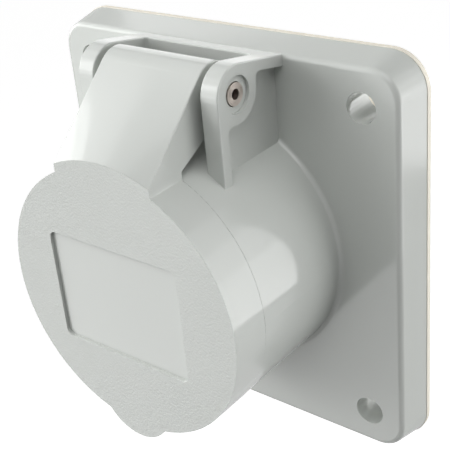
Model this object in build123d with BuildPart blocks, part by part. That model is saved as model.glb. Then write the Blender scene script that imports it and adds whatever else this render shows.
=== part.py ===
from build123d import *
import math
import os

# Industrial panel socket with a spring-closed lid. Millimetres, +Z up.
# The origin is the plug axis on the panel surface. The panel lies along XZ, and the front faces -Y.
# Heights named _h are distances in front of the panel, so a negative one lies behind it.

# Flange and gasket
gasket_thickness = 1.0
gasket_overhang = 0.1
flange_width = 76.2
flange_thickness = 6.7
flange_draft_inset = 1.3
flange_corner_radius = 6.5
flange_edge_radius = 1.0
flange_wall = 2.6
flange_front_wall = 2.5
rib_thickness = 1.4
hole_spacing = 60.0
hole_radius = 2.75
hole_boss_radius = 5.2
gasket_hole_radius = 3.0
gasket_bore_clearance = 0.4

# Barrel, from the panel to the mouth
barrel_radius = 24.95
barrel_length = 22.2
barrel_foot_radius = 0.8
mouth_length = 3.4
mouth_root_radius = 23.2
mouth_rim_radius = 22.8
bore_radius = 21.8
keyway_half_width = 3.1
keyway_depth = 2.2
keyway_wall = 1.5

# Rear tube and the floor that carries the contact insert
tail_radius = 23.6
tail_length = 9.5
floor_h = -4.0
floor_thickness = 3.0
floor_hole_radius = 16.6

# Hinge
pin_rise = 12.5
pin_z = 34.3
ear_radius = 5.0
ear_outer_x = 15.2
ear_thickness = 3.5
ear_recess = 1.8
ear_strip = 2.0
ear_recess_fillet = 1.2
ear_edge_radius = 0.25
ear_root_z = 19.0
block_root_z = 37.0
block_wall = 3.7
block_corner_radius = 0.7
counterbore_radius = 3.16
counterbore_depth = 0.6
pin_radius = 1.95
pin_bore_radius = 0.9
pin_inset = 0.35
ear_pin_clearance = 0.1
knuckle_pin_clearance = 0.08

# Lid
lid_radius = 25.0
lid_depth = 7.8
lid_face_thickness = 2.0
lid_skirt_wall = 1.2
lid_seat_gap = 0.15
lid_back_edge_radius = 0.15
label_width = 28.6
label_height = 21.3
label_x = -0.5
label_z = -0.25
label_depth = 0.6
label_corner_radius = 1.2
label_edge_radius = 0.15
tab_radius = 7.9
tab_drop = 27.6
tab_thickness = 3.2
arm_face_radius = 26.4
arm_half_width = 10.6
arm_edge_radius = 0.2
knuckle_radius = 4.8
arm_step = 1.25
arm_wall = 1.6
cheek_thickness = 2.2
knuckle_shell = 1.3
shell_back_angle = math.radians(56)
barrel_clearance = 0.5
hook_width = 12.0
hook_thickness = 2.2
hook_reach = 4.3
hook_z = -18.2
seal_outer_clearance = 0.2
seal_width = 1.4
seal_gap = 0.1

# Spring on the pin
wire_radius = 0.4
coil_clearance = 0.35
coil_pitch = 0.95
coil_turns = 6
coil_start_x = -3.0
fixed_leg_angle = math.radians(-35)
fixed_leg_gap = 0.1
arm_leg_gap = 0.4
rest_width = 3.0
rest_thickness = 1.2
rest_height = 2.2
rest_gap = 0.1
keeper_width = 1.4
keeper_thickness = 1.2
keeper_setback = 1.0
keeper_gap = 0.1

# Contact insert
insert_radius = 18.9
insert_front_h = 28.5
insert_fit = 0.1
insert_edge_radius = 0.6
contact_circle_radius = 9.5
insert_front_wall = 2.0
back_flange_radius = 20.0
back_flange_thickness = 2.5
back_radius = 17.5
back_length = 19.0
pocket_width = 9.0
pocket_inner = 4.6
pocket_start = 4.0

# Contacts
phase_pin_radius = 2.5
earth_pin_radius = 3.5
sleeve_clearance = 0.05
sleeve_wall = 0.95
sleeve_front_gap = 0.3
sleeve_slot = 0.7
sleeve_slot_length = 13.0
ring_wall = 0.45
ring_length = 5.0
ring_inset = 2.0
ring_gap = 1.2
chamber_clearance = 0.3
pin_hole_clearance = 0.3
collar_lip = 0.9
collar_front_length = 1.0
tail_width = 6.0
tail_thickness = 1.4
tail_inner = 1.0
tail_reach = 17.0

# Clamps and screws
clamp_length = 7.0
clamp_offset = 6.0
clamp_width = 8.4
clamp_window_width = 6.4
clamp_floor = 1.2
clamp_roof = 1.8
clamp_window_inner = 3.2
clamp_lift = 0.2
terminal_screw_radius = 1.9
terminal_screw_clearance = 0.05
terminal_head_radius = 3.2
terminal_head_height = 1.8
terminal_head_gap = 0.6
slot_width = 0.8
slot_depth = 1.0
carrier_screw_circle = 12.5
carrier_screw_radius = 1.4
carrier_screw_clearance = 0.2
carrier_head_radius = 2.8
carrier_head_height = 1.8
carrier_head_seat = 3.0
carrier_screw_grip = 9.0
carrier_screw_spare = 1.0

flange_back_h = gasket_thickness
flange_front_h = flange_back_h + flange_thickness
shoulder_h = flange_front_h + barrel_length
rim_h = shoulder_h + mouth_length
skirt_back_h = shoulder_h + lid_seat_gap
lid_face_h = skirt_back_h + lid_depth
lid_inner_h = lid_face_h - lid_face_thickness
skirt_inner_radius = lid_radius - lid_skirt_wall
pin_h = flange_front_h + pin_rise
ear_inner_x = ear_outer_x - ear_thickness
ear_hole_radius = pin_radius + ear_pin_clearance
floor_back_h = floor_h - floor_thickness
tail_end_h = -tail_length
match_tolerance = 0.01

coil_radius = pin_radius + coil_clearance + wire_radius

# The fixed leg leaves the coil as a tangent and stops just above the barrel, behind a rest.
leg_start_z = pin_z + (coil_radius + wire_radius) * math.sin(fixed_leg_angle)
fixed_leg_length = (leg_start_z - barrel_radius - fixed_leg_gap) / math.cos(fixed_leg_angle)
leg_end_h = pin_h - coil_radius * math.cos(fixed_leg_angle) - fixed_leg_length * math.sin(fixed_leg_angle)
rest_h = leg_end_h + wire_radius / math.cos(fixed_leg_angle) + rest_gap

# The block's top rises from the flange to the crown of the ears and touches their circle.
crown_reach = math.hypot(pin_rise, block_root_z - pin_z)
block_slope = math.asin(ear_radius / crown_reach) - math.atan2(block_root_z - pin_z, pin_rise)
crown_y = -pin_h + ear_radius * math.sin(block_slope)
crown_z = pin_z + ear_radius * math.cos(block_slope)

# The arm's flat edges run from the lid to the knuckle and touch the knuckle's circle.
arm_edge_z = math.sqrt(arm_face_radius**2 - arm_half_width**2)
under_z = math.sqrt(lid_radius**2 - arm_half_width**2) + arm_step


def slope_to_knuckle(h, z, side):
    """Angle of the line from (h, z) that touches the knuckle: side +1 above the pin, -1 below it."""
    towards_pin = math.atan2(pin_z - z, h - pin_h)
    spread = math.asin(knuckle_radius / math.hypot(h - pin_h, pin_z - z))
    return towards_pin + side * spread


top_slope = slope_to_knuckle(lid_face_h, arm_edge_z, 1)
under_slope = slope_to_knuckle(skirt_back_h, under_z, -1)
touch_h = pin_h + knuckle_radius * math.sin(top_slope)
touch_z = pin_z + knuckle_radius * math.cos(top_slope)

# The arm leg stops short of the hollow's front wall.
hollow_front_h = skirt_back_h - arm_wall
leg_reach = hollow_front_h - arm_leg_gap - pin_h
arm_leg_length = (leg_reach - (coil_radius + wire_radius) * math.sin(top_slope)) / math.cos(top_slope)
keeper_distance = arm_leg_length - keeper_setback


def front_plane(h):
    """Plane parallel to the panel, h in front of it. Local x is X, local y is Z."""
    return Plane.XZ.offset(h)


def arm_top(h):
    """Height of the arm's upper edge."""
    return arm_edge_z + (lid_face_h - h) * math.tan(top_slope)


def arm_underside(h):
    """Height of the arm's lower edge."""
    return under_z + (skirt_back_h - h) * math.tan(under_slope)


def on_barrel_foot(edge):
    """True for the edges where the barrel meets the flange."""
    same_radius = abs(edge.radius - barrel_radius) < match_tolerance
    return same_radius and abs(edge.arc_center.Y + flange_front_h) < match_tolerance


def in_block_corner(edge):
    """True for the upright corners between the ears and the hinge block's wall."""
    middle = edge.center()
    beside_ear = abs(abs(middle.X) - ear_inner_x) < match_tolerance
    return beside_ear and abs(-middle.Y - flange_front_h - block_wall) < match_tolerance


def on_ear_outline(edge):
    """True for the front, crown and top edges of the ears' faces."""
    middle = edge.center()
    on_face = min(abs(abs(middle.X) - x) for x in (ear_inner_x, ear_outer_x)) < match_tolerance
    in_front = -middle.Y > flange_front_h + block_wall + match_tolerance
    return on_face and in_front and middle.Z > ear_root_z + match_tolerance


def on_arm_top(edge):
    """True for the side edges of the arm's top and of the knuckle's crown."""
    middle = edge.center()
    on_side = abs(abs(middle.X) - arm_half_width) < match_tolerance
    ahead = -middle.Y - pin_h
    above = (middle.Z - pin_z) * math.cos(top_slope) + ahead * math.sin(top_slope)
    return on_side and above > knuckle_radius / 2 and -middle.Y < lid_face_h - match_tolerance


def on_label_rim(edge):
    """True for the edges of the label's recess on the lid's face."""
    middle = edge.center()
    on_face = abs(middle.Y + lid_face_h) < match_tolerance
    inside_x = abs(middle.X - label_x) < label_width / 2 + match_tolerance
    return on_face and inside_x and abs(middle.Z - label_z) < label_height / 2 + match_tolerance


def build_housing():
    """Flange, barrel, hinge block and rear tube, moulded in one."""
    with BuildPart() as housing:
        with BuildSketch(front_plane(flange_back_h)):
            RectangleRounded(flange_width, flange_width, flange_corner_radius)
        draft = math.degrees(math.atan(flange_draft_inset / flange_thickness))
        extrude(amount=flange_thickness, taper=draft)
        front_edges = housing.faces().sort_by(Axis.Y)[0].edges()
        fillet(front_edges, flange_edge_radius)

        # Hinge block: a wall on the flange and two ears with round ends
        block_top = block_root_z + block_wall * math.tan(block_slope)
        with BuildSketch(Plane.YZ.offset(-ear_outer_x)):
            with BuildLine():
                Polyline(
                    (-flange_front_h, ear_root_z),
                    (-flange_front_h, block_root_z),
                    (-flange_front_h - block_wall, block_top),
                    (-flange_front_h - block_wall, ear_root_z),
                    close=True,
                )
            make_face()
        extrude(amount=2 * ear_outer_x)
        for x in (-ear_outer_x, ear_inner_x):
            with BuildSketch(Plane.YZ.offset(x)):
                add(ear_outline())
            extrude(amount=ear_thickness)
        fillet(housing.edges().filter_by(in_block_corner), block_corner_radius)
        fillet(housing.edges().filter_by(on_ear_outline), ear_edge_radius)

        # Recessed webs in the outer faces of the ears
        for x, depth in ((-ear_outer_x, ear_recess), (ear_outer_x, -ear_recess)):
            with BuildSketch(Plane.YZ.offset(x)):
                add(ear_recess_outline())
            extrude(amount=depth, mode=Mode.SUBTRACT)

        # Barrel, with a rounded foot on the flange outside the hinge block
        with BuildSketch(front_plane(flange_front_h)):
            Circle(barrel_radius)
        extrude(amount=barrel_length)
        foot = housing.edges().filter_by(GeomType.CIRCLE).filter_by(on_barrel_foot)
        fillet(foot, barrel_foot_radius)

        # Pin holes, each in a shallow counterbore
        with BuildSketch(Plane.YZ.offset(-ear_outer_x)):
            with Locations((-pin_h, pin_z)):
                Circle(ear_hole_radius)
        extrude(amount=2 * ear_outer_x, mode=Mode.SUBTRACT)
        for x, depth in ((-ear_outer_x, counterbore_depth), (ear_outer_x, -counterbore_depth)):
            with BuildSketch(Plane.YZ.offset(x)):
                with Locations((-pin_h, pin_z)):
                    Circle(counterbore_radius)
            extrude(amount=depth, mode=Mode.SUBTRACT)

        # Rest for the spring's fixed leg, on top of the barrel
        with BuildSketch(front_plane(rest_h)):
            with Locations((coil_start_x, barrel_radius)):
                Rectangle(rest_width, 2 * rest_height)
        extrude(amount=rest_thickness)

        # Mouth spigot, rear tube, and the floor with its hole
        with BuildSketch(Plane.XY):
            with BuildLine():
                Polyline(
                    (bore_radius, -shoulder_h),
                    (mouth_root_radius, -shoulder_h),
                    (mouth_rim_radius, -rim_h),
                    (bore_radius, -rim_h),
                    close=True,
                )
            make_face()
        revolve(axis=Axis.Y)
        with BuildSketch(front_plane(flange_back_h)):
            Circle(tail_radius)
        extrude(amount=tail_end_h - flange_back_h)

        # Plug guide: a key groove under the bore, with its wall outside the barrel
        with BuildSketch(front_plane(flange_front_h)):
            with Locations((0, -bore_radius)):
                Rectangle(2 * (keyway_half_width + keyway_wall), 2 * (keyway_depth + keyway_wall))
        extrude(amount=barrel_length)

        # Bores, from the mouth to the floor, through the floor, and behind it
        with BuildSketch(front_plane(floor_h)):
            Circle(bore_radius)
        extrude(amount=rim_h - floor_h, mode=Mode.SUBTRACT)
        with BuildSketch(front_plane(flange_back_h)):
            with Locations((0, -bore_radius)):
                Rectangle(2 * keyway_half_width, 2 * keyway_depth)
        extrude(amount=rim_h - flange_back_h, mode=Mode.SUBTRACT)
        with BuildSketch(front_plane(floor_back_h)):
            Circle(floor_hole_radius)
        extrude(amount=floor_thickness, mode=Mode.SUBTRACT)
        with BuildSketch(front_plane(tail_end_h)):
            Circle(back_flange_radius + insert_fit)
        extrude(amount=floor_back_h - tail_end_h, mode=Mode.SUBTRACT)

        # The flange is cored from behind and keeps a wall, ribs and screw bosses
        core_width = flange_width - 2 * (flange_wall + flange_draft_inset / 2)
        with BuildSketch(front_plane(flange_back_h)):
            RectangleRounded(core_width, core_width, flange_corner_radius - flange_wall)
            Circle(barrel_radius + flange_wall, mode=Mode.SUBTRACT)
            Rectangle(flange_width, rib_thickness, mode=Mode.SUBTRACT)
            Rectangle(rib_thickness, flange_width, mode=Mode.SUBTRACT)
            with GridLocations(hole_spacing, hole_spacing, 2, 2):
                Circle(hole_boss_radius, mode=Mode.SUBTRACT)
            for angle in (45, 135):
                Rectangle(2 * flange_width, rib_thickness, rotation=angle, mode=Mode.SUBTRACT)
        extrude(amount=flange_thickness - flange_front_wall, mode=Mode.SUBTRACT)
        with BuildSketch(front_plane(flange_back_h)):
            with GridLocations(hole_spacing, hole_spacing, 2, 2):
                Circle(hole_radius)
        extrude(amount=flange_thickness, mode=Mode.SUBTRACT)
    return housing


def ear_outline():
    """Side view of an ear: upright front, round crown, and a top that slopes back to the flange."""
    front_y = -pin_h - ear_radius
    diagonal = ear_radius * math.sin(math.pi / 4)
    with BuildSketch() as outline:
        with BuildLine():
            Polyline(
                (crown_y, crown_z),
                (-flange_front_h, block_root_z),
                (-flange_front_h, ear_root_z),
                (front_y, ear_root_z),
                (front_y, pin_z),
            )
            ThreePointArc((front_y, pin_z), (-pin_h - diagonal, pin_z + diagonal), (crown_y, crown_z))
        make_face()
    return outline.sketch


def ear_recess_outline():
    """The web's outline: it stops short of the front strip, the top strip and the boss."""
    front_y = -pin_h - ear_radius + ear_strip
    top_z = block_root_z - ear_strip / math.cos(block_slope)
    top_front_z = top_z + (pin_rise + ear_radius) * math.tan(block_slope)
    with BuildSketch() as outline:
        with BuildLine():
            Polyline(
                (front_y, ear_root_z),
                (front_y, top_front_z),
                (-flange_front_h, top_z),
                (-flange_front_h, ear_root_z),
                close=True,
            )
        make_face()
        with Locations((-pin_h, pin_z)):
            Circle(ear_radius, mode=Mode.SUBTRACT)
        with Locations((front_y, top_front_z)):
            Rectangle(2 * ear_radius, 2 * (top_front_z - pin_z), mode=Mode.SUBTRACT)
        boss_corners = outline.vertices().filter_by(
            lambda point: abs(math.hypot(point.X + pin_h, point.Y - pin_z) - ear_radius) < match_tolerance)
        fillet(boss_corners, ear_recess_fillet)
    return outline.sketch


def build_lid():
    """Face, skirt, arm and knuckle, moulded in one and hollow behind."""
    with BuildPart() as lid:
        with BuildSketch(front_plane(skirt_back_h)):
            Circle(lid_radius)
        extrude(amount=lid_depth)
        fillet(lid.faces().sort_by(Axis.Y)[-1].edges(), lid_back_edge_radius)

        # Arm: its top blends from an arc on the lid to a straight edge on the knuckle
        with BuildSketch(front_plane(lid_face_h)):
            add(arm_section(arm_half_width, arm_edge_z, arm_face_radius))
        with BuildSketch(front_plane(touch_h)):
            with BuildLine():
                Polyline(
                    (-arm_half_width, arm_underside(touch_h)),
                    (-arm_half_width, touch_z),
                    (arm_half_width, touch_z),
                    (arm_half_width, arm_underside(touch_h)),
                    close=True,
                )
            make_face()
        loft(ruled=True)
        under_touch_y = -pin_h + knuckle_radius * math.sin(under_slope)
        with BuildSketch(Plane.YZ.offset(-arm_half_width)):
            with BuildLine():
                Polyline(
                    (-touch_h, touch_z),
                    (-pin_h, pin_z),
                    (under_touch_y, pin_z - knuckle_radius * math.cos(under_slope)),
                    (-touch_h, arm_underside(touch_h)),
                    close=True,
                )
            make_face()
            with Locations((-pin_h, pin_z)):
                Circle(knuckle_radius)
        extrude(amount=2 * arm_half_width)
        with BuildSketch(front_plane(skirt_back_h)):
            with Locations((0, under_z / 2)):
                Rectangle(2 * arm_half_width, under_z)
        extrude(amount=lid_depth)
        fillet(lid.edges().filter_by(on_arm_top), arm_edge_radius)

        # Thumb tab under the face
        with BuildSketch(front_plane(lid_face_h)):
            with Locations((0, tab_radius - tab_drop)):
                Circle(tab_radius)
        extrude(amount=-tab_thickness)

        # Hollow of the cup, with the seal and the mouth inside, and the room for the barrel
        with BuildSketch(front_plane(skirt_back_h)):
            Circle(skirt_inner_radius)
        extrude(amount=lid_inner_h - skirt_back_h, mode=Mode.SUBTRACT)
        with BuildSketch(front_plane(flange_front_h)):
            Circle(barrel_radius + barrel_clearance)
        extrude(amount=skirt_back_h - flange_front_h, mode=Mode.SUBTRACT)

        # Hollow of the arm and knuckle, open below
        cheek_x = arm_half_width - cheek_thickness
        drop = arm_wall / math.cos(top_slope)
        inner_radius = knuckle_radius - knuckle_shell
        inner_touch_z = pin_z + inner_radius * math.cos(top_slope)
        open_reach = 2 * knuckle_radius
        open_z = pin_z + open_reach * math.sin(shell_back_angle)
        with BuildSketch(Plane.YZ.offset(-cheek_x)):
            with BuildLine():
                Polyline(
                    (-hollow_front_h, barrel_radius),
                    (-hollow_front_h, arm_top(hollow_front_h) - drop),
                    (-pin_h - inner_radius * math.sin(top_slope), inner_touch_z),
                    (-pin_h, pin_z),
                    (-pin_h + open_reach * math.cos(shell_back_angle), open_z),
                    (-pin_h + open_reach, barrel_radius),
                    close=True,
                )
            make_face()
            with Locations((-pin_h, pin_z)):
                Circle(inner_radius)
        extrude(amount=2 * cheek_x, mode=Mode.SUBTRACT)

        # Cross bar under the spring's arm leg
        keeper_drop = coil_radius - wire_radius - keeper_gap - keeper_thickness / 2
        keeper_h = pin_h + keeper_drop * math.sin(top_slope) + keeper_distance * math.cos(top_slope)
        keeper_z = pin_z + keeper_drop * math.cos(top_slope) - keeper_distance * math.sin(top_slope)
        with BuildSketch(Plane.YZ.offset(-cheek_x)):
            with Locations((-keeper_h, keeper_z)):
                Rectangle(keeper_width, keeper_thickness, rotation=math.degrees(top_slope))
        extrude(amount=2 * cheek_x)

        # Pin hole through the knuckle
        with BuildSketch(Plane.YZ.offset(-arm_half_width)):
            with Locations((-pin_h, pin_z)):
                Circle(pin_radius + knuckle_pin_clearance)
        extrude(amount=2 * arm_half_width, mode=Mode.SUBTRACT)

        # Recessed field on the face, and the hook that holds a plug
        with BuildSketch(front_plane(lid_face_h)):
            with Locations((label_x, label_z)):
                RectangleRounded(label_width, label_height, label_corner_radius)
        extrude(amount=-label_depth, mode=Mode.SUBTRACT)
        fillet(lid.edges().filter_by(on_label_rim), label_edge_radius)
        with BuildSketch(front_plane(lid_inner_h)):
            with Locations((0, hook_z - hook_thickness / 2)):
                Rectangle(hook_width, hook_thickness)
        extrude(amount=-hook_reach)
    return lid


def arm_section(half_width, edge_z, crown_radius):
    """Upright section of the arm at the lid's face, with an arc on top."""
    bottom_z = arm_underside(lid_face_h)
    with BuildSketch() as section:
        with BuildLine():
            Polyline(
                (half_width, edge_z),
                (half_width, bottom_z),
                (-half_width, bottom_z),
                (-half_width, edge_z),
            )
            ThreePointArc((-half_width, edge_z), (0, crown_radius), (half_width, edge_z))
        make_face()
    return section.sketch


def build_hinge_pin():
    """Tubular pin through both ears and the knuckle."""
    half_length = ear_outer_x - pin_inset
    with BuildPart() as pin:
        with BuildSketch(Plane.YZ.offset(-half_length)):
            with Locations((-pin_h, pin_z)):
                Circle(pin_radius)
        extrude(amount=2 * half_length)
        with BuildSketch(Plane.YZ.offset(-half_length)):
            with Locations((-pin_h, pin_z)):
                Circle(pin_bore_radius)
        extrude(amount=2 * half_length, mode=Mode.SUBTRACT)
    return pin


def build_lid_spring():
    """Torsion spring on the pin: one leg bears on the barrel, the other on the arm."""
    turns = coil_turns + (math.pi / 2 + top_slope - fixed_leg_angle) / (2 * math.pi)
    coil_length = coil_pitch * turns
    with BuildPart() as coil:
        with BuildLine() as path:
            turning = Helix(coil_pitch, coil_length, coil_radius)
        with BuildSketch(Plane(origin=turning @ 0, z_dir=turning % 0)):
            Circle(wire_radius)
        sweep(path=path.wires()[0], is_frenet=True)
        with BuildSketch(Plane(origin=turning @ 0, z_dir=-(turning % 0))):
            Circle(wire_radius)
        extrude(amount=fixed_leg_length)
        with BuildSketch(Plane(origin=turning @ 1, z_dir=turning % 1)):
            Circle(wire_radius)
        extrude(amount=arm_leg_length)
    start = Vector(0, math.cos(fixed_leg_angle), math.sin(fixed_leg_angle))
    on_pin = Plane(origin=(coil_start_x, -pin_h, pin_z), x_dir=start, z_dir=(1, 0, 0))
    with BuildPart() as spring:
        with Locations(on_pin.location):
            add(coil.part)
    return spring


def build_lid_seal():
    """Rubber ring that the lid presses on the barrel's rim."""
    outer = skirt_inner_radius - seal_outer_clearance
    with BuildPart() as seal:
        with BuildSketch(front_plane(rim_h + seal_gap)):
            Circle(outer)
            Circle(outer - seal_width, mode=Mode.SUBTRACT)
        extrude(amount=lid_inner_h - rim_h - seal_gap)
    return seal


def build_flange_gasket():
    """Thin sheet between the flange and the panel."""
    width = flange_width + 2 * gasket_overhang
    with BuildPart() as gasket:
        with BuildSketch(front_plane(0)):
            RectangleRounded(width, width, flange_corner_radius + gasket_overhang)
            Circle(tail_radius + gasket_bore_clearance, mode=Mode.SUBTRACT)
            with GridLocations(hole_spacing, hole_spacing, 2, 2):
                Circle(gasket_hole_radius, mode=Mode.SUBTRACT)
        extrude(amount=gasket_thickness)
    return gasket


contact_angles = {"line": 150, "neutral": 30, "earth": -90}
contact_pin_radii = {"line": phase_pin_radius, "neutral": phase_pin_radius, "earth": earth_pin_radius}
screw_angles = (90, 210, 330)


def polar_point(radius, angle):
    """Point on a front plane at this radius and angle."""
    return (radius * math.cos(math.radians(angle)), radius * math.sin(math.radians(angle)))


def contact_plane(name, h):
    """Front plane at a contact's axis. Local x points away from the plug axis."""
    angle = math.radians(contact_angles[name])
    outward = Vector(math.cos(angle), 0, math.sin(angle))
    origin = outward * contact_circle_radius + Vector(0, -h, 0)
    return Plane(origin=origin, x_dir=outward, z_dir=(0, -1, 0))


def sleeve_radius(name):
    return contact_pin_radii[name] + sleeve_clearance + sleeve_wall


def chamber_radius(name):
    return sleeve_radius(name) + ring_wall + chamber_clearance


def collar_radius(name):
    return chamber_radius(name) + collar_lip


chamber_front_h = insert_front_h - insert_front_wall
sleeve_front_h = chamber_front_h - sleeve_front_gap
collar_front_h = floor_h + collar_front_length
back_end_h = floor_back_h - back_length


def build_contact_carrier():
    """Front insert: a plain cylinder with three stepped contact holes."""
    with BuildPart() as carrier:
        with BuildSketch(front_plane(floor_h)):
            Circle(insert_radius)
        extrude(amount=insert_front_h - floor_h)
        front_edge = carrier.faces().sort_by(Axis.Y)[0].edges()
        fillet(front_edge, insert_edge_radius)
        with BuildSketch(front_plane(floor_back_h)):
            Circle(floor_hole_radius - insert_fit)
        extrude(amount=floor_thickness)
        for name in contact_angles:
            with BuildSketch(contact_plane(name, chamber_front_h)):
                Circle(contact_pin_radii[name] + pin_hole_clearance)
            extrude(amount=insert_front_wall, mode=Mode.SUBTRACT)
            with BuildSketch(contact_plane(name, collar_front_h)):
                Circle(chamber_radius(name))
            extrude(amount=chamber_front_h - collar_front_h, mode=Mode.SUBTRACT)
            with BuildSketch(contact_plane(name, floor_back_h)):
                Circle(collar_radius(name) + sleeve_clearance)
            extrude(amount=collar_front_h - floor_back_h, mode=Mode.SUBTRACT)
        with BuildSketch(front_plane(floor_back_h)):
            with Locations(*[polar_point(carrier_screw_circle, angle) for angle in screw_angles]):
                Circle(carrier_screw_radius + sleeve_clearance)
        extrude(amount=carrier_screw_grip + carrier_screw_spare, mode=Mode.SUBTRACT)
    return carrier


def build_carrier_back():
    """Rear half: a flange under the floor, and three pockets open outward and to the rear."""
    pocket_front_h = floor_back_h - pocket_start
    seat_h = floor_back_h - back_flange_thickness - carrier_head_seat
    with BuildPart() as back:
        with BuildSketch(front_plane(floor_back_h)):
            Circle(back_flange_radius)
        extrude(amount=-back_flange_thickness)
        with BuildSketch(front_plane(floor_back_h - back_flange_thickness)):
            Circle(back_radius)
        extrude(amount=back_end_h - floor_back_h + back_flange_thickness)
        for name in contact_angles:
            with BuildSketch(contact_plane(name, pocket_front_h)):
                with Locations((-pocket_inner, 0)):
                    Rectangle(2 * back_radius, pocket_width, align=(Align.MIN, Align.CENTER))
            extrude(amount=back_end_h - pocket_front_h, mode=Mode.SUBTRACT)
            with BuildSketch(contact_plane(name, floor_back_h)):
                with Locations((tail_inner + tail_thickness / 2, 0)):
                    Rectangle(tail_thickness + 2 * insert_fit, tail_width + 2 * insert_fit)
            extrude(amount=-pocket_start, mode=Mode.SUBTRACT)
        with BuildSketch(front_plane(floor_back_h)):
            with Locations(*[polar_point(carrier_screw_circle, angle) for angle in screw_angles]):
                Circle(carrier_screw_radius + carrier_screw_clearance)
        extrude(amount=-back_length, mode=Mode.SUBTRACT)
        with BuildSketch(front_plane(seat_h)):
            with Locations(*[polar_point(carrier_screw_circle, angle) for angle in screw_angles]):
                Circle(carrier_head_radius + carrier_screw_clearance)
        extrude(amount=back_end_h - seat_h, mode=Mode.SUBTRACT)
    return back


def build_contact(name):
    """Slotted sleeve with a collar, and a flat tail that the clamp grips."""
    bore = contact_pin_radii[name] + sleeve_clearance
    with BuildPart() as contact:
        with BuildSketch(contact_plane(name, floor_back_h)):
            Circle(sleeve_radius(name))
        extrude(amount=sleeve_front_h - floor_back_h)
        with BuildSketch(contact_plane(name, floor_back_h)):
            Circle(collar_radius(name))
        extrude(amount=collar_front_h - floor_back_h)
        with BuildSketch(contact_plane(name, collar_front_h)):
            Circle(bore)
        extrude(amount=sleeve_front_h - collar_front_h, mode=Mode.SUBTRACT)
        with BuildSketch(contact_plane(name, sleeve_front_h)):
            Rectangle(3 * sleeve_radius(name), sleeve_slot)
            Rectangle(sleeve_slot, 3 * sleeve_radius(name))
        extrude(amount=-sleeve_slot_length, mode=Mode.SUBTRACT)
        with BuildSketch(contact_plane(name, floor_back_h)):
            with Locations((tail_inner + tail_thickness / 2, 0)):
                Rectangle(tail_thickness, tail_width)
        extrude(amount=-tail_reach)
    return contact


def build_sleeve_spring(name):
    """Split spring ring that closes the slotted end of a sleeve on the pin."""
    with BuildPart() as ring:
        with BuildSketch(contact_plane(name, sleeve_front_h - ring_inset)):
            Circle(sleeve_radius(name) + ring_wall)
            Circle(sleeve_radius(name), mode=Mode.SUBTRACT)
            with Locations((-sleeve_radius(name), 0)):
                Rectangle(2 * ring_gap, ring_gap, mode=Mode.SUBTRACT)
        extrude(amount=-ring_length)
    return ring


clamp_front_h = floor_back_h - clamp_offset
window_outer = tail_inner + tail_thickness + clamp_lift
clamp_outer = window_outer + clamp_roof
screw_h = clamp_front_h - clamp_length / 2


def build_clamp(name):
    """Box clamp round a contact's tail. Its outer wall carries the screw."""
    with BuildPart() as clamp:
        with BuildSketch(contact_plane(name, clamp_front_h)):
            inner = clamp_window_inner + clamp_floor
            with Locations(((clamp_outer - inner) / 2, 0)):
                Rectangle(clamp_outer + inner, clamp_width)
            with Locations(((window_outer - clamp_window_inner) / 2, 0)):
                Rectangle(window_outer + clamp_window_inner, clamp_window_width, mode=Mode.SUBTRACT)
        extrude(amount=-clamp_length)
        with BuildSketch(screw_plane(name, 0)):
            Circle(terminal_screw_radius + terminal_screw_clearance)
        extrude(amount=clamp_outer, mode=Mode.SUBTRACT)
    return clamp


def screw_plane(name, offset):
    """Plane across a terminal screw, this far out from the contact's axis."""
    base = contact_plane(name, screw_h)
    return Plane(origin=base.origin + base.x_dir * offset, x_dir=(0, -1, 0), z_dir=base.x_dir)


def build_terminal_screws():
    """Three slotted screws, each on its contact's tail."""
    tip = tail_inner + tail_thickness
    head_start = clamp_outer + terminal_head_gap
    with BuildPart() as screws:
        for name in contact_angles:
            with BuildSketch(screw_plane(name, tip)):
                Circle(terminal_screw_radius)
            extrude(amount=head_start - tip)
            with BuildSketch(screw_plane(name, head_start)):
                Circle(terminal_head_radius)
            extrude(amount=terminal_head_height)
            with BuildSketch(screw_plane(name, head_start + terminal_head_height)):
                Rectangle(3 * terminal_head_radius, slot_width)
            extrude(amount=-slot_depth, mode=Mode.SUBTRACT)
    return screws


def build_carrier_screws():
    """Three slotted screws that hold the two halves of the insert on the floor."""
    seat_h = floor_back_h - back_flange_thickness - carrier_head_seat
    with BuildPart() as screws:
        for angle in screw_angles:
            with BuildSketch(front_plane(seat_h)):
                with Locations(polar_point(carrier_screw_circle, angle)):
                    Circle(carrier_screw_radius)
            extrude(amount=floor_back_h + carrier_screw_grip - seat_h)
            with BuildSketch(front_plane(seat_h)):
                with Locations(polar_point(carrier_screw_circle, angle)):
                    Circle(carrier_head_radius)
            extrude(amount=-carrier_head_height)
            with BuildSketch(front_plane(seat_h - carrier_head_height)):
                with Locations(polar_point(carrier_screw_circle, angle)):
                    Rectangle(3 * carrier_head_radius, slot_width)
            extrude(amount=slot_depth, mode=Mode.SUBTRACT)
    return screws


def save(piece, label):
    piece.part.label = label
    export_step(piece.part, f"parts/{label}.step")


os.makedirs("parts", exist_ok=True)
save(build_housing(), "housing")
save(build_lid(), "lid")
save(build_hinge_pin(), "hinge_pin")
save(build_lid_spring(), "lid_spring")
save(build_lid_seal(), "lid_seal")
save(build_flange_gasket(), "flange_gasket")
save(build_contact_carrier(), "contact_carrier")
save(build_carrier_back(), "carrier_back")
for contact_name in contact_angles:
    save(build_contact(contact_name), f"{contact_name}_contact")
    save(build_sleeve_spring(contact_name), f"{contact_name}_sleeve_spring")
    save(build_clamp(contact_name), f"{contact_name}_clamp")
save(build_terminal_screws(), "terminal_screws")
save(build_carrier_screws(), "carrier_screws")
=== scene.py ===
import math

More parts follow.
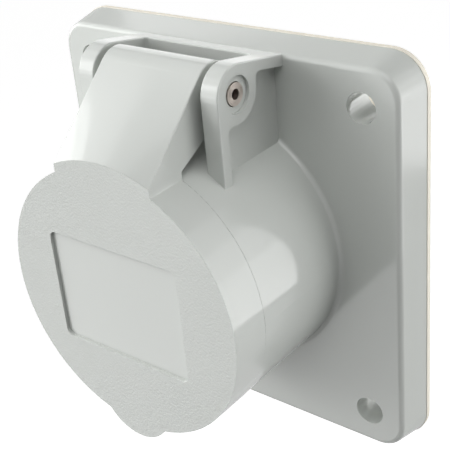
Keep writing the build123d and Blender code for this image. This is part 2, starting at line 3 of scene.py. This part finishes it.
import bmesh
import bpy
from mathutils import Euler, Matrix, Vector


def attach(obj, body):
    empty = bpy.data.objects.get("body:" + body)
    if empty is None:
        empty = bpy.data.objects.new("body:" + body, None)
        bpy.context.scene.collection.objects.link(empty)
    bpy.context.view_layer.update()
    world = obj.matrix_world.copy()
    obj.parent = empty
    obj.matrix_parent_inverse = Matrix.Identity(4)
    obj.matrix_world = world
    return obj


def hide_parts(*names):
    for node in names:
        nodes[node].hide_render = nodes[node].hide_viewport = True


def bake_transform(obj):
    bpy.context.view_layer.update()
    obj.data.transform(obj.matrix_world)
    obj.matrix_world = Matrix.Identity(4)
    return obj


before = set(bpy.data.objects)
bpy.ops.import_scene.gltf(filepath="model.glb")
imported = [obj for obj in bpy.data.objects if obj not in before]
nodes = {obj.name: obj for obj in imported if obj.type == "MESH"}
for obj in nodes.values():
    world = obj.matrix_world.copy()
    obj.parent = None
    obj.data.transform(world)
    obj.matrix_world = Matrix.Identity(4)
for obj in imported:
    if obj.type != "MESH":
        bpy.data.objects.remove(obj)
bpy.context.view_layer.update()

# Camera, fitted to the photograph's edges
IMAGE_SIZE = 450
FOCAL_PIXELS = 1018.455
CENTRE_PIXEL = (215.107, 206.439)
SENSOR_MM = 36.0
CAMERA_PLACE = (0.110464, -0.136862, 0.090796)
CAMERA_TURN_DEG = (63.19998, 5.24148, 38.58305)
NEAREST_SEEN = 0.005
FARTHEST_SEEN = 20.0

camera_data = bpy.data.cameras.new("camera")
camera_data.sensor_width = SENSOR_MM
camera_data.lens = FOCAL_PIXELS / IMAGE_SIZE * SENSOR_MM
camera_data.shift_x = (IMAGE_SIZE / 2 - CENTRE_PIXEL[0]) / IMAGE_SIZE
camera_data.shift_y = (CENTRE_PIXEL[1] - IMAGE_SIZE / 2) / IMAGE_SIZE
camera_data.clip_start = NEAREST_SEEN
camera_data.clip_end = FARTHEST_SEEN
camera = bpy.data.objects.new("camera", camera_data)
camera.location = CAMERA_PLACE
camera.rotation_euler = Euler([math.radians(angle) for angle in CAMERA_TURN_DEG])
bpy.context.scene.collection.objects.link(camera)
bpy.context.scene.camera = camera
bpy.context.scene.view_settings.view_transform = "Standard"


class Graph:
    """Small helper round one material's node tree."""

    def __init__(self, name):
        self.material = bpy.data.materials.new(name)
        self.material.use_nodes = True
        self.tree = self.material.node_tree
        self.shader = self.tree.nodes["Principled BSDF"]
        self.output = self.tree.nodes["Material Output"]

    def node(self, kind, **settings):
        made = self.tree.nodes.new(kind)
        for key, value in settings.items():
            setattr(made, key, value)
        return made

    def link(self, source, target):
        self.tree.links.new(source, target)

    def feed(self, target, value):
        """Gives an input either another node's output or a plain value."""
        if isinstance(value, bpy.types.NodeSocket):
            self.link(value, target)
        else:
            target.default_value = value

    def place(self):
        return self.node("ShaderNodeTexCoord").outputs["Object"]

    def noise(self, scale, detail=2.0, vector=None):
        made = self.node("ShaderNodeTexNoise")
        made.inputs["Scale"].default_value = scale
        made.inputs["Detail"].default_value = detail
        self.link(vector or self.place(), made.inputs["Vector"])
        return made.outputs["Fac"]

    def ramp(self, value, low, high, out_low, out_high):
        """Smooth step from one value to another while the input goes from low to high."""
        made = self.node("ShaderNodeMapRange")
        made.interpolation_type = "SMOOTHSTEP"
        self.feed(made.inputs["Value"], value)
        limits = {"From Min": low, "From Max": high, "To Min": out_low, "To Max": out_high}
        for key, number in limits.items():
            self.feed(made.inputs[key], number)
        return made.outputs["Result"]

    def maths(self, operation, a, b=0.0):
        made = self.node("ShaderNodeMath", operation=operation)
        self.feed(made.inputs[0], a)
        self.feed(made.inputs[1], b)
        return made.outputs[0]

    def mix(self, factor, first, second):
        """Mix of two colours. The numbered sockets are the colour ones."""
        made = self.node("ShaderNodeMix", data_type="RGBA")
        self.feed(made.inputs[0], factor)
        self.feed(made.inputs[6], first)
        self.feed(made.inputs[7], second)
        return made.outputs[2]

    def blend(self, factor, first, second):
        """Mix of two numbers. The numbered sockets are the ones for numbers."""
        made = self.node("ShaderNodeMix", data_type="FLOAT")
        self.feed(made.inputs[0], factor)
        self.feed(made.inputs[2], first)
        self.feed(made.inputs[3], second)
        return made.outputs[0]

    def axis(self, letter):
        made = self.node("ShaderNodeSeparateXYZ")
        self.link(self.place(), made.inputs[0])
        return made.outputs[letter]

    def distance(self, centre, axes):
        """Distance from a centre, counted only along these axes."""
        offset = self.node("ShaderNodeVectorMath", operation="SUBTRACT")
        self.link(self.place(), offset.inputs[0])
        offset.inputs[1].default_value = centre
        kept = self.node("ShaderNodeVectorMath", operation="MULTIPLY")
        self.link(offset.outputs[0], kept.inputs[0])
        kept.inputs[1].default_value = axes
        length = self.node("ShaderNodeVectorMath", operation="LENGTH")
        self.link(kept.outputs[0], length.inputs[0])
        return length.outputs["Value"]

    def bump(self, height, distance, normal=None):
        made = self.node("ShaderNodeBump")
        made.inputs["Distance"].default_value = distance
        self.link(height, made.inputs["Height"])
        if normal is not None:
            self.link(normal, made.inputs["Normal"])
        return made.outputs["Normal"]

    def fed_to(self, name):
        """What already feeds this input of the shader."""
        return self.shader.inputs[name].links[0].from_socket


# Materials. Lengths are in metres, noise scales in cycles a metre
FINE_DETAIL = 3.0               # octaves of the finer noises
NOISE_MIDDLE = (0.3, 0.7)       # where most of a noise's values lie
CLOUD_SCALE = 35.0
CLOUD_SPREAD = 0.015            # share by which the cloudy colour varies
PLASTIC_GLOSS_SCALE = 400.0
PLASTIC_GLOSS_SPREAD = 0.15     # share by which the roughness varies
SKIN_SCALE = 1500.0
SKIN_DEPTH = 0.000004
ROUGHER_SKIN_DEPTH = 0.00001
SHEET_SKIN_DEPTH = 0.00003
FACE_Y = -0.03785               # the lid's flat face
FACE_FADE = (0.00002, 0.00006)  # how far behind the face its grain starts to fade and is gone
FACE_ROUGHNESS = 0.25
GRAIN_SCALE = 2700.0
GRAIN_DEPTH = 0.00011
LINE_SCALE = 900.0
LINE_DEPTH = 0.000006
LINE_SHADES = (0.9, 1.08)
METAL_GLOSS_SPREAD = 0.2
ALONG_Y = (1.0, 0.1, 1.0)       # stretch of the lines in a piece drawn along Y

# Ridges: pitch and height, and for a thread where along its measure it starts to fade and is gone
PIN_AXIS = (-0.0202, 0.0343)    # Y and Z
PIN_RINGS = (0.0003, 0.0000008)
TERMINAL_THREAD = (0.0007, 0.00025, (0.0144, 0.0146))
CARRIER_THREAD = (0.00045, 0.00018, (0.0123, 0.0125))

GREY = (0.575, 0.597, 0.571)
INSERT_BLACK = (0.018, 0.018, 0.02)
RUBBER_BLACK = (0.012, 0.012, 0.012)
CREAM = (0.82, 0.78, 0.68)
SPRING_GREY = (0.45, 0.45, 0.46)
BRASS_YELLOW = (0.72, 0.53, 0.25)
ZINC = (0.66, 0.66, 0.63)
PIN_TINT = (0.58, 0.515, 0.47)


def shade(colour, factor):
    return (colour[0] * factor, colour[1] * factor, colour[2] * factor, 1.0)


def plastic(name, colour, roughness, skin_depth=SKIN_DEPTH):
    """Moulded plastic: slight cloudiness, an uneven gloss and a fine skin."""
    graph = Graph(name)
    cloud = graph.noise(CLOUD_SCALE, FINE_DETAIL)
    tint = graph.mix(cloud, shade(colour, 1 - CLOUD_SPREAD), shade(colour, 1 + CLOUD_SPREAD))
    gloss = graph.ramp(graph.noise(PLASTIC_GLOSS_SCALE), *NOISE_MIDDLE,
                       roughness * (1 - PLASTIC_GLOSS_SPREAD),
                       roughness * (1 + PLASTIC_GLOSS_SPREAD))
    skin = graph.bump(graph.noise(SKIN_SCALE), skin_depth)
    graph.link(tint, graph.shader.inputs["Base Color"])
    graph.link(gloss, graph.shader.inputs["Roughness"])
    graph.link(skin, graph.shader.inputs["Normal"])
    return graph


def lid_plastic(name, colour, roughness):
    """The housing's plastic, with a fine spark-eroded grain on the lid's flat face."""
    graph = plastic(name, colour, roughness)
    start, end = (FACE_Y + depth for depth in FACE_FADE)
    on_face = graph.ramp(graph.axis("Y"), start, end, 1.0, 0.0)
    grain = graph.maths("MULTIPLY", graph.noise(GRAIN_SCALE, FINE_DETAIL), on_face)
    skin = graph.bump(grain, GRAIN_DEPTH, normal=graph.fed_to("Normal"))
    gloss = graph.blend(on_face, graph.fed_to("Roughness"), FACE_ROUGHNESS)
    graph.link(skin, graph.shader.inputs["Normal"])
    graph.link(gloss, graph.shader.inputs["Roughness"])
    return graph


def metal(name, colour, roughness, stretch=(1.0, 1.0, 1.0)):
    """Drawn or plated metal with fine lines and an uneven polish."""
    graph = Graph(name)
    scaled = graph.node("ShaderNodeMapping")
    scaled.inputs["Scale"].default_value = stretch
    graph.link(graph.place(), scaled.inputs["Vector"])
    lines = graph.noise(LINE_SCALE, FINE_DETAIL, scaled.outputs["Vector"])
    dark, light = (shade(colour, factor) for factor in LINE_SHADES)
    gloss = graph.ramp(lines, *NOISE_MIDDLE,
                       roughness * (1 - METAL_GLOSS_SPREAD), roughness * (1 + METAL_GLOSS_SPREAD))
    graph.link(graph.mix(lines, dark, light), graph.shader.inputs["Base Color"])
    graph.link(gloss, graph.shader.inputs["Roughness"])
    graph.shader.inputs["Metallic"].default_value = 1.0
    graph.link(graph.bump(lines, LINE_DEPTH), graph.shader.inputs["Normal"])
    return graph


def add_ridges(graph, measure, pitch, height, fade=None):
    """Even ridges along a measure: the threads of a screw, or turning marks on an end face."""
    wave = graph.maths("SINE", graph.maths("MULTIPLY", measure, 2 * math.pi / pitch))
    if fade is not None:
        wave = graph.maths("MULTIPLY", wave, graph.ramp(measure, *fade, 1.0, 0.0))
    ridges = graph.bump(wave, height, normal=graph.fed_to("Normal"))
    graph.link(ridges, graph.shader.inputs["Normal"])


housing_skin = plastic("housing_skin", GREY, 0.1)
lid_skin = lid_plastic("lid_skin", GREY, 0.1)
insert_skin = plastic("insert_skin", INSERT_BLACK, 0.42, ROUGHER_SKIN_DEPTH)
seal_skin = plastic("seal_skin", RUBBER_BLACK, 0.6, ROUGHER_SKIN_DEPTH)
gasket_skin = plastic("gasket_skin", CREAM, 0.7, SHEET_SKIN_DEPTH)
spring_steel = metal("spring_steel", SPRING_GREY, 0.28)
brass = metal("contact_brass", BRASS_YELLOW, 0.3, ALONG_Y)
clamp_steel = metal("clamp_steel", ZINC, 0.32)

pin_metal = metal("pin_metal", PIN_TINT, 0.36)
add_ridges(pin_metal, pin_metal.distance((0.0, *PIN_AXIS), (0.0, 1.0, 1.0)), *PIN_RINGS)

# The terminal screws point to the socket's axis, the carrier screws lie along it
terminal_metal = metal("terminal_screw_metal", ZINC, 0.3)
from_axis = terminal_metal.distance((0.0, 0.0, 0.0), (1.0, 0.0, 1.0))
add_ridges(terminal_metal, from_axis, *TERMINAL_THREAD)

carrier_metal = metal("carrier_screw_metal", ZINC, 0.3)
add_ridges(carrier_metal, carrier_metal.axis("Y"), *CARRIER_THREAD)

SKINS = {
    "housing": housing_skin,
    "lid": lid_skin,
    "hinge_pin": pin_metal,
    "lid_spring": spring_steel,
    "lid_seal": seal_skin,
    "flange_gasket": gasket_skin,
    "contact_carrier": insert_skin,
    "carrier_back": insert_skin,
    "line_contact": brass,
    "neutral_contact": brass,
    "earth_contact": brass,
    "line_sleeve_spring": spring_steel,
    "neutral_sleeve_spring": spring_steel,
    "earth_sleeve_spring": spring_steel,
    "line_clamp": clamp_steel,
    "neutral_clamp": clamp_steel,
    "earth_clamp": clamp_steel,
    "terminal_screws": terminal_metal,
    "carrier_screws": carrier_metal,
}
for name, graph in SKINS.items():
    piece = nodes[name]
    if not piece.material_slots:
        piece.data.materials.append(None)
    for slot in piece.material_slots:
        slot.link = "OBJECT"
        slot.material = graph.material


def join_loops(work, loops, following):
    """Faces between each loop of vertices and the one that follows it."""
    for first, second in zip(loops, following):
        for index in range(len(first)):
            after = (index + 1) % len(first)
            work.faces.new((first[index], first[after], second[after], second[index]))


def make_piece(name, work, sharp_deg, graph):
    """Object from a finished bmesh, smooth but for edges sharper than this angle."""
    bmesh.ops.recalc_face_normals(work, faces=work.faces)
    mesh = bpy.data.meshes.new(name)
    work.to_mesh(mesh)
    work.free()
    mesh.shade_smooth()
    mesh.set_sharp_from_angle(angle=math.radians(sharp_deg))
    mesh.materials.append(graph.material)
    piece = bpy.data.objects.new(name, mesh)
    bpy.context.scene.collection.objects.link(piece)
    return piece


# Lid spring, in the CAD spring's place, with a fixed leg and an arm leg.
# Its angles are round the pin, from +Y towards +Z
WIRE_RADIUS = 0.0004
WIRE_SIDES = 14
WIRE_SHARP_DEG = 40
COIL_RADIUS = 0.0027
COIL_PITCH = 0.00095
COIL_START_X = -0.003
COIL_START = math.radians(-35.0)
COIL_TURN = 2 * math.pi * 6.4680
COIL_STEPS = 300
FIXED_LEG = 0.009121
ARM_LEG = 0.007879
LEG_STEPS = 10
END_ROUNDING = 0.00012


def wire_frame(angle):
    """Centre, direction, outward and sideways vectors of the wire at this angle of the coil."""
    outward = Vector((0.0, math.cos(angle), math.sin(angle)))
    lead = COIL_PITCH / (2 * math.pi)
    direction = Vector((lead, -COIL_RADIUS * math.sin(angle), COIL_RADIUS * math.cos(angle)))
    direction.normalize()
    x = COIL_START_X + lead * (angle - COIL_START)
    centre = Vector((x, *PIN_AXIS)) + outward * COIL_RADIUS
    return centre, direction, outward, direction.cross(outward)


def wire_stations():
    """Stations along the whole wire: centre, outward and sideways vectors, and wire radius."""
    end_radius = WIRE_RADIUS - END_ROUNDING
    centre, direction, outward, sideways = wire_frame(COIL_START)
    stations = [(centre - direction * FIXED_LEG, outward, sideways, end_radius)]
    for step in range(LEG_STEPS):
        back = (FIXED_LEG - END_ROUNDING) * (1 - step / LEG_STEPS)
        stations.append((centre - direction * back, outward, sideways, WIRE_RADIUS))
    for step in range(COIL_STEPS + 1):
        angle = COIL_START + COIL_TURN * step / COIL_STEPS
        centre, direction, outward, sideways = wire_frame(angle)
        stations.append((centre, outward, sideways, WIRE_RADIUS))
    for step in range(1, LEG_STEPS + 1):
        ahead = (ARM_LEG - END_ROUNDING) * step / LEG_STEPS
        stations.append((centre + direction * ahead, outward, sideways, WIRE_RADIUS))
    stations.append((centre + direction * ARM_LEG, outward, sideways, end_radius))
    return stations


wire_work = bmesh.new()
wire_turns = [2 * math.pi * side / WIRE_SIDES for side in range(WIRE_SIDES)]
hoops = []
for centre, outward, sideways, radius in wire_stations():
    spokes = [outward * math.cos(turn) + sideways * math.sin(turn) for turn in wire_turns]
    hoops.append([wire_work.verts.new(centre + spoke * radius) for spoke in spokes])
join_loops(wire_work, hoops, hoops[1:])
wire_work.faces.new(hoops[0])
wire_work.faces.new(hoops[-1])
spring_wire = make_piece("lid_spring_wire", wire_work, WIRE_SHARP_DEG, spring_steel)
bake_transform(spring_wire)
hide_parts("lid_spring")

# Lip on the barrel's end, which nearly closes the seam under the lid's skirt: radius and Y
LIP_PROFILE = [(0.0240, -0.0299), (0.0240, -0.03002), (0.02484, -0.03002),
               (0.02490, -0.03005), (0.02495, -0.0301), (0.02495, -0.0299)]
LIP_STEPS = 240
LIP_SHARP_DEG = 50

lip_work = bmesh.new()
lip_turns = [2 * math.pi * step / LIP_STEPS for step in range(LIP_STEPS)]
rings = [[lip_work.verts.new((radius * math.sin(turn), y, radius * math.cos(turn)))
          for radius, y in LIP_PROFILE] for turn in lip_turns]
join_loops(lip_work, rings, rings[1:] + rings[:1])
barrel_lip = make_piece("barrel_lip", lip_work, LIP_SHARP_DEG, housing_skin)
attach(barrel_lip, "base")

# Floor and world. Both look white to the camera, and metal mirrors them as pale surroundings
FLOOR_Z = -0.8
FLOOR_HALF = 6.0
FLOOR_GREY = (0.5, 0.5, 0.5, 1.0)
FLOOR_ROUGHNESS = 0.9
WHITE = (1.0, 1.0, 1.0, 1.0)
FLOOR_SEEN = 0.97
WORLD_SEEN = 1.0
MIRRORED_GLOW = 0.5
FLOOR_GLOW = 0.0
WORLD_GLOW = 0.04


def backdrop_strength(tree, seen, mirrored, other):
    """A backdrop's strength for the camera, off metal or through glass, and for other rays."""
    path = tree.nodes.new("ShaderNodeLightPath")
    level = tree.nodes.new("ShaderNodeValue").outputs[0]
    level.default_value = other
    strengths = {"Is Glossy Ray": mirrored, "Is Transmission Ray": mirrored, "Is Camera Ray": seen}
    for ray, strength in strengths.items():
        choice = tree.nodes.new("ShaderNodeMix")
        tree.links.new(path.outputs[ray], choice.inputs[0])
        tree.links.new(level, choice.inputs[2])
        choice.inputs[3].default_value = strength
        level = choice.outputs[0]
    return level


floor_mesh = bpy.data.meshes.new("floor")
corners = [(-FLOOR_HALF, -FLOOR_HALF, FLOOR_Z), (FLOOR_HALF, -FLOOR_HALF, FLOOR_Z),
           (FLOOR_HALF, FLOOR_HALF, FLOOR_Z), (-FLOOR_HALF, FLOOR_HALF, FLOOR_Z)]
floor_mesh.from_pydata(corners, [], [(0, 1, 2, 3)])
floor = bpy.data.objects.new("floor", floor_mesh)
bpy.context.scene.collection.objects.link(floor)
floor_paint = Graph("floor_paint")
floor_paint.shader.inputs["Base Color"].default_value = FLOOR_GREY
floor_paint.shader.inputs["Roughness"].default_value = FLOOR_ROUGHNESS
floor_paint.shader.inputs["Specular IOR Level"].default_value = 0.0
glow = floor_paint.node("ShaderNodeEmission")
glow_strength = backdrop_strength(floor_paint.tree, FLOOR_SEEN, MIRRORED_GLOW, FLOOR_GLOW)
floor_paint.link(glow_strength, glow.inputs["Strength"])
both = floor_paint.node("ShaderNodeAddShader")
floor_paint.link(floor_paint.shader.outputs[0], both.inputs[0])
floor_paint.link(glow.outputs[0], both.inputs[1])
floor_paint.link(both.outputs[0], floor_paint.output.inputs["Surface"])
floor_mesh.materials.append(floor_paint.material)

world = bpy.data.worlds.new("studio")
world.use_nodes = True
bpy.context.scene.world = world
sky = world.node_tree
background = sky.nodes["Background"]
background.inputs["Color"].default_value = WHITE
world_strength = backdrop_strength(sky, WORLD_SEEN, MIRRORED_GLOW, WORLD_GLOW)
sky.links.new(world_strength, background.inputs["Strength"])

# Studio lamps: name, azimuth and elevation in degrees, size, power. Azimuth 0 is in front of the
# object and 90 to its right. They were placed by what each part of the photograph mirrors
LAMP_AIM = Vector((0.0, -0.02, 0.0))
LAMP_DISTANCE = 0.7
LAMPS = [
    ("left_lamp", -60, 22, (0.5, 0.34), 1.0),
    ("left_mid_lamp", -66, 26, (0.7, 0.6), 1.25),
    ("left_low_lamp", -82, 10, (0.42, 0.44), 1.2),
    ("left_fill_lamp", -72, 28, (1.2, 0.9), 2.3),
    ("front_low_lamp", -36, -22, (0.5, 0.6), 1.38),
    ("front_lamp", -38, 14, (0.5, 0.42), 1.15),
    ("front_top_lamp", 10, 42, (0.6, 0.42), 1.15),
    ("right_top_lamp", 60, 65, (0.5, 0.5), 1.6),
    ("right_low_lamp", 105, -15, (0.5, 0.35), 0.8),
    ("right_back_lamp", 127, -7.3, (0.75, 0.38), 0.85),
    ("right_back_mid_lamp", 127, 1.4, (0.75, 0.62), 1.4),
    ("right_back_high_lamp", 127, 9.1, (0.75, 0.86), 1.8),
    ("back_lamp", 152, 0, (0.4, 0.5), 1.0),
    ("back_left_lamp", -150, 20, (0.5, 0.42), 0.75),
]

for name, azimuth, elevation, size, power in LAMPS:
    turn, rise = math.radians(azimuth), math.radians(elevation)
    level_part = math.cos(rise)
    towards = Vector((math.sin(turn) * level_part, -math.cos(turn) * level_part, math.sin(rise)))
    lamp_data = bpy.data.lights.new(name, "AREA")
    lamp_data.shape = "RECTANGLE"
    lamp_data.size, lamp_data.size_y = size
    lamp_data.energy = power
    lamp = bpy.data.objects.new(name, lamp_data)
    lamp.location = LAMP_AIM + towards * LAMP_DISTANCE
    lamp.rotation_euler = towards.to_track_quat("Z", "Y").to_euler()
    bpy.context.scene.collection.objects.link(lamp)
